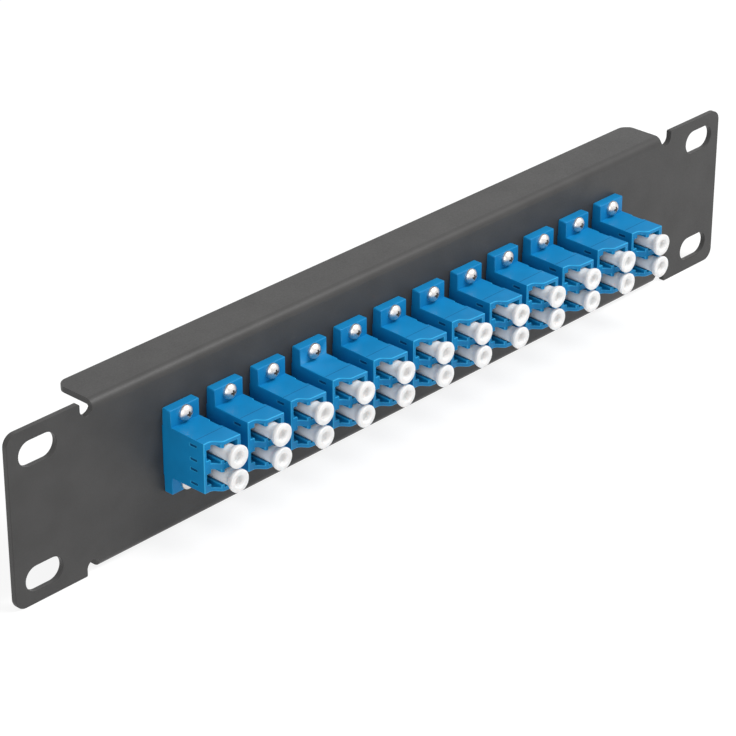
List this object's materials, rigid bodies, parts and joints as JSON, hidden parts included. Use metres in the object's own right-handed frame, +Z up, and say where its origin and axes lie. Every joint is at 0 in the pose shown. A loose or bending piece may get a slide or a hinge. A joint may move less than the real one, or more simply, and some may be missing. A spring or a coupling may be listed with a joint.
{
  "type": "fibre patch panel",
  "caption": "Half-width rack panel of black folded steel with a row of blue duplex fibre adapters, screwed on and closed by white push-in dust caps.",
  "frame": {"origin": "centre of the four rack slots, on the rear face of the mounting ears, which lies on the rack rails", "axes": "+X along the row of ports to the right as seen from the front, +Y backwards into the rack, +Z up"},
  "size_m": [0.254, 0.0358, 0.0444],
  "materials": {
    "powder_coat": "fine-textured matt powder coat",
    "adapter_blue": "satin moulded plastic",
    "cap_white": "soft translucent plastic",
    "plated_steel": "bright plated",
    "ceramic": "polished ceramic"
  },
  "bodies": {
    "panel": {"rack_panel": "powder_coat", "adapter_01": "adapter_blue", "adapter_02": "adapter_blue", "adapter_03": "adapter_blue", "adapter_04": "adapter_blue", "adapter_05": "adapter_blue", "adapter_06": "adapter_blue", "adapter_07": "adapter_blue", "adapter_08": "adapter_blue", "adapter_09": "adapter_blue", "adapter_10": "adapter_blue", "adapter_11": "adapter_blue", "adapter_12": "adapter_blue", "adapter_screws": "plated_steel", "adapter_nuts": "plated_steel", "split_sleeves": "ceramic"},
    "front_cap_01_upper": {"front_cap_01_upper": "cap_white"},
    "front_cap_01_lower": {"front_cap_01_lower": "cap_white"},
    "front_cap_02_upper": {"front_cap_02_upper": "cap_white"},
    "front_cap_02_lower": {"front_cap_02_lower": "cap_white"},
    "front_cap_03_upper": {"front_cap_03_upper": "cap_white"},
    "front_cap_03_lower": {"front_cap_03_lower": "cap_white"},
    "front_cap_04_upper": {"front_cap_04_upper": "cap_white"},
    "front_cap_04_lower": {"front_cap_04_lower": "cap_white"},
    "front_cap_05_upper": {"front_cap_05_upper": "cap_white"},
    "front_cap_05_lower": {"front_cap_05_lower": "cap_white"},
    "front_cap_06_upper": {"front_cap_06_upper": "cap_white"},
    "front_cap_06_lower": {"front_cap_06_lower": "cap_white"},
    "front_cap_07_upper": {"front_cap_07_upper": "cap_white"},
    "front_cap_07_lower": {"front_cap_07_lower": "cap_white"},
    "front_cap_08_upper": {"front_cap_08_upper": "cap_white"},
    "front_cap_08_lower": {"front_cap_08_lower": "cap_white"},
    "front_cap_09_upper": {"front_cap_09_upper": "cap_white"},
    "front_cap_09_lower": {"front_cap_09_lower": "cap_white"},
    "front_cap_10_upper": {"front_cap_10_upper": "cap_white"},
    "front_cap_10_lower": {"front_cap_10_lower": "cap_white"},
    "front_cap_11_upper": {"front_cap_11_upper": "cap_white"},
    "front_cap_11_lower": {"front_cap_11_lower": "cap_white"},
    "front_cap_12_upper": {"front_cap_12_upper": "cap_white"},
    "front_cap_12_lower": {"front_cap_12_lower": "cap_white"},
    "rear_caps_01": {"rear_caps_01": "cap_white"},
    "rear_caps_02": {"rear_caps_02": "cap_white"},
    "rear_caps_03": {"rear_caps_03": "cap_white"},
    "rear_caps_04": {"rear_caps_04": "cap_white"},
    "rear_caps_05": {"rear_caps_05": "cap_white"},
    "rear_caps_06": {"rear_caps_06": "cap_white"},
    "rear_caps_07": {"rear_caps_07": "cap_white"},
    "rear_caps_08": {"rear_caps_08": "cap_white"},
    "rear_caps_09": {"rear_caps_09": "cap_white"},
    "rear_caps_10": {"rear_caps_10": "cap_white"},
    "rear_caps_11": {"rear_caps_11": "cap_white"},
    "rear_caps_12": {"rear_caps_12": "cap_white"}
  },
  "joints": [
    {"name": "pull_front_01_upper", "type": "slide", "parent": "panel", "child": "front_cap_01_upper", "axis": [0, -1, 0], "range_m": [0, 0.015]},
    {"name": "pull_front_01_lower", "type": "slide", "parent": "panel", "child": "front_cap_01_lower", "axis": [0, -1, 0], "range_m": [0, 0.015]},
    {"name": "pull_front_02_upper", "type": "slide", "parent": "panel", "child": "front_cap_02_upper", "axis": [0, -1, 0], "range_m": [0, 0.015]},
    {"name": "pull_front_02_lower", "type": "slide", "parent": "panel", "child": "front_cap_02_lower", "axis": [0, -1, 0], "range_m": [0, 0.015]},
    {"name": "pull_front_03_upper", "type": "slide", "parent": "panel", "child": "front_cap_03_upper", "axis": [0, -1, 0], "range_m": [0, 0.015]},
    {"name": "pull_front_03_lower", "type": "slide", "parent": "panel", "child": "front_cap_03_lower", "axis": [0, -1, 0], "range_m": [0, 0.015]},
    {"name": "pull_front_04_upper", "type": "slide", "parent": "panel", "child": "front_cap_04_upper", "axis": [0, -1, 0], "range_m": [0, 0.015]},
    {"name": "pull_front_04_lower", "type": "slide", "parent": "panel", "child": "front_cap_04_lower", "axis": [0, -1, 0], "range_m": [0, 0.015]},
    {"name": "pull_front_05_upper", "type": "slide", "parent": "panel", "child": "front_cap_05_upper", "axis": [0, -1, 0], "range_m": [0, 0.015]},
    {"name": "pull_front_05_lower", "type": "slide", "parent": "panel", "child": "front_cap_05_lower", "axis": [0, -1, 0], "range_m": [0, 0.015]},
    {"name": "pull_front_06_upper", "type": "slide", "parent": "panel", "child": "front_cap_06_upper", "axis": [0, -1, 0], "range_m": [0, 0.015]},
    {"name": "pull_front_06_lower", "type": "slide", "parent": "panel", "child": "front_cap_06_lower", "axis": [0, -1, 0], "range_m": [0, 0.015]},
    {"name": "pull_front_07_upper", "type": "slide", "parent": "panel", "child": "front_cap_07_upper", "axis": [0, -1, 0], "range_m": [0, 0.015]},
    {"name": "pull_front_07_lower", "type": "slide", "parent": "panel", "child": "front_cap_07_lower", "axis": [0, -1, 0], "range_m": [0, 0.015]},
    {"name": "pull_front_08_upper", "type": "slide", "parent": "panel", "child": "front_cap_08_upper", "axis": [0, -1, 0], "range_m": [0, 0.015]},
    {"name": "pull_front_08_lower", "type": "slide", "parent": "panel", "child": "front_cap_08_lower", "axis": [0, -1, 0], "range_m": [0, 0.015]},
    {"name": "pull_front_09_upper", "type": "slide", "parent": "panel", "child": "front_cap_09_upper", "axis": [0, -1, 0], "range_m": [0, 0.015]},
    {"name": "pull_front_09_lower", "type": "slide", "parent": "panel", "child": "front_cap_09_lower", "axis": [0, -1, 0], "range_m": [0, 0.015]},
    {"name": "pull_front_10_upper", "type": "slide", "parent": "panel", "child": "front_cap_10_upper", "axis": [0, -1, 0], "range_m": [0, 0.015]},
    {"name": "pull_front_10_lower", "type": "slide", "parent": "panel", "child": "front_cap_10_lower", "axis": [0, -1, 0], "range_m": [0, 0.015]},
    {"name": "pull_front_11_upper", "type": "slide", "parent": "panel", "child": "front_cap_11_upper", "axis": [0, -1, 0], "range_m": [0, 0.015]},
    {"name": "pull_front_11_lower", "type": "slide", "parent": "panel", "child": "front_cap_11_lower", "axis": [0, -1, 0], "range_m": [0, 0.015]},
    {"name": "pull_front_12_upper", "type": "slide", "parent": "panel", "child": "front_cap_12_upper", "axis": [0, -1, 0], "range_m": [0, 0.015]},
    {"name": "pull_front_12_lower", "type": "slide", "parent": "panel", "child": "front_cap_12_lower", "axis": [0, -1, 0], "range_m": [0, 0.015]},
    {"name": "pull_rear_01", "type": "slide", "parent": "panel", "child": "rear_caps_01", "axis": [0, 1, 0], "range_m": [0, 0.015]},
    {"name": "pull_rear_02", "type": "slide", "parent": "panel", "child": "rear_caps_02", "axis": [0, 1, 0], "range_m": [0, 0.015]},
    {"name": "pull_rear_03", "type": "slide", "parent": "panel", "child": "rear_caps_03", "axis": [0, 1, 0], "range_m": [0, 0.015]},
    {"name": "pull_rear_04", "type": "slide", "parent": "panel", "child": "rear_caps_04", "axis": [0, 1, 0], "range_m": [0, 0.015]},
    {"name": "pull_rear_05", "type": "slide", "parent": "panel", "child": "rear_caps_05", "axis": [0, 1, 0], "range_m": [0, 0.015]},
    {"name": "pull_rear_06", "type": "slide", "parent": "panel", "child": "rear_caps_06", "axis": [0, 1, 0], "range_m": [0, 0.015]},
    {"name": "pull_rear_07", "type": "slide", "parent": "panel", "child": "rear_caps_07", "axis": [0, 1, 0], "range_m": [0, 0.015]},
    {"name": "pull_rear_08", "type": "slide", "parent": "panel", "child": "rear_caps_08", "axis": [0, 1, 0], "range_m": [0, 0.015]},
    {"name": "pull_rear_09", "type": "slide", "parent": "panel", "child": "rear_caps_09", "axis": [0, 1, 0], "range_m": [0, 0.015]},
    {"name": "pull_rear_10", "type": "slide", "parent": "panel", "child": "rear_caps_10", "axis": [0, 1, 0], "range_m": [0, 0.015]},
    {"name": "pull_rear_11", "type": "slide", "parent": "panel", "child": "rear_caps_11", "axis": [0, 1, 0], "range_m": [0, 0.015]},
    {"name": "pull_rear_12", "type": "slide", "parent": "panel", "child": "rear_caps_12", "axis": [0, 1, 0], "range_m": [0, 0.015]}
  ]
}
